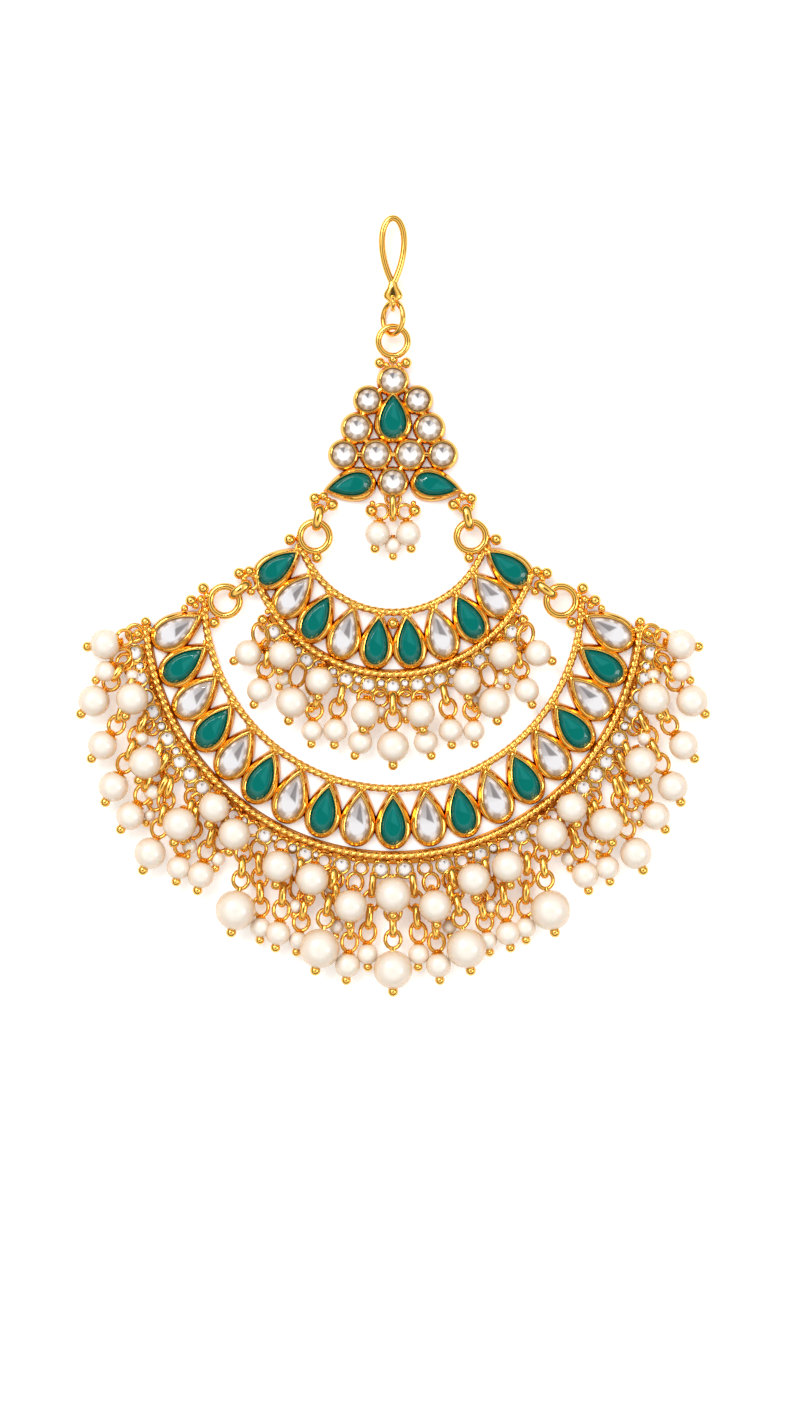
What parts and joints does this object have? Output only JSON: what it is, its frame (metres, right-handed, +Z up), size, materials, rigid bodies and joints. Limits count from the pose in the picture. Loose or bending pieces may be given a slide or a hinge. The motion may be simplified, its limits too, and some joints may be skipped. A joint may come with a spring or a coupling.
{
  "type": "jhoomar",
  "caption": "Gilt crescent head ornament with green and clear pear-cut stones, pearl drops and a hanging hook, lying flat on its back.",
  "frame": {"origin": "middle of the ornament's outline on the surface it lies on", "axes": "+Y along the line it mirrors in, towards the hook; +X to its right seen from above; +Z up off the surface"},
  "size_m": [0.1142, 0.141, 0.0082],
  "materials": {
    "gold": "polished",
    "green_glass": "gloss",
    "clear_glass": "gloss",
    "pearl": "satin"
  },
  "bodies": {
    "root": {"hook": "gold", "top_link": "gold", "top_plate": "gold", "crown_pear": "green_glass", "side_pear_right": "green_glass", "side_pear_left": "green_glass", "inner_crescent": "gold", "inner_pear_right_1": "green_glass", "inner_pear_right_2": "clear_glass", "inner_pear_right_3": "green_glass", "inner_pear_right_4": "clear_glass", "inner_pear_right_5": "green_glass", "inner_pear_left_1": "green_glass", "inner_pear_left_2": "clear_glass", "inner_pear_left_3": "green_glass", "inner_pear_left_4": "clear_glass", "inner_pear_left_5": "green_glass", "outer_crescent": "gold", "outer_pear_centre": "green_glass", "outer_pear_right_1": "clear_glass", "outer_pear_right_2": "green_glass", "outer_pear_right_3": "clear_glass", "outer_pear_right_4": "green_glass", "outer_pear_right_5": "clear_glass", "outer_pear_right_6": "green_glass", "outer_pear_right_7": "clear_glass", "outer_pear_right_8": "green_glass", "outer_pear_right_9": "clear_glass", "outer_pear_left_1": "clear_glass", "outer_pear_left_2": "green_glass", "outer_pear_left_3": "clear_glass", "outer_pear_left_4": "green_glass", "outer_pear_left_5": "clear_glass", "outer_pear_left_6": "green_glass", "outer_pear_left_7": "clear_glass", "outer_pear_left_8": "green_glass", "outer_pear_left_9": "clear_glass", "upper_link_right": "gold", "upper_link_left": "gold", "lower_link_right": "gold", "lower_link_left": "gold", "top_drop_right": "pearl", "top_drop_left": "pearl", "top_drop_centre": "pearl", "inner_fringe": "pearl", "outer_centre_drops": "pearl", "outer_fringe_right": "pearl", "outer_fringe_left": "pearl"}
  },
  "joints": []
}
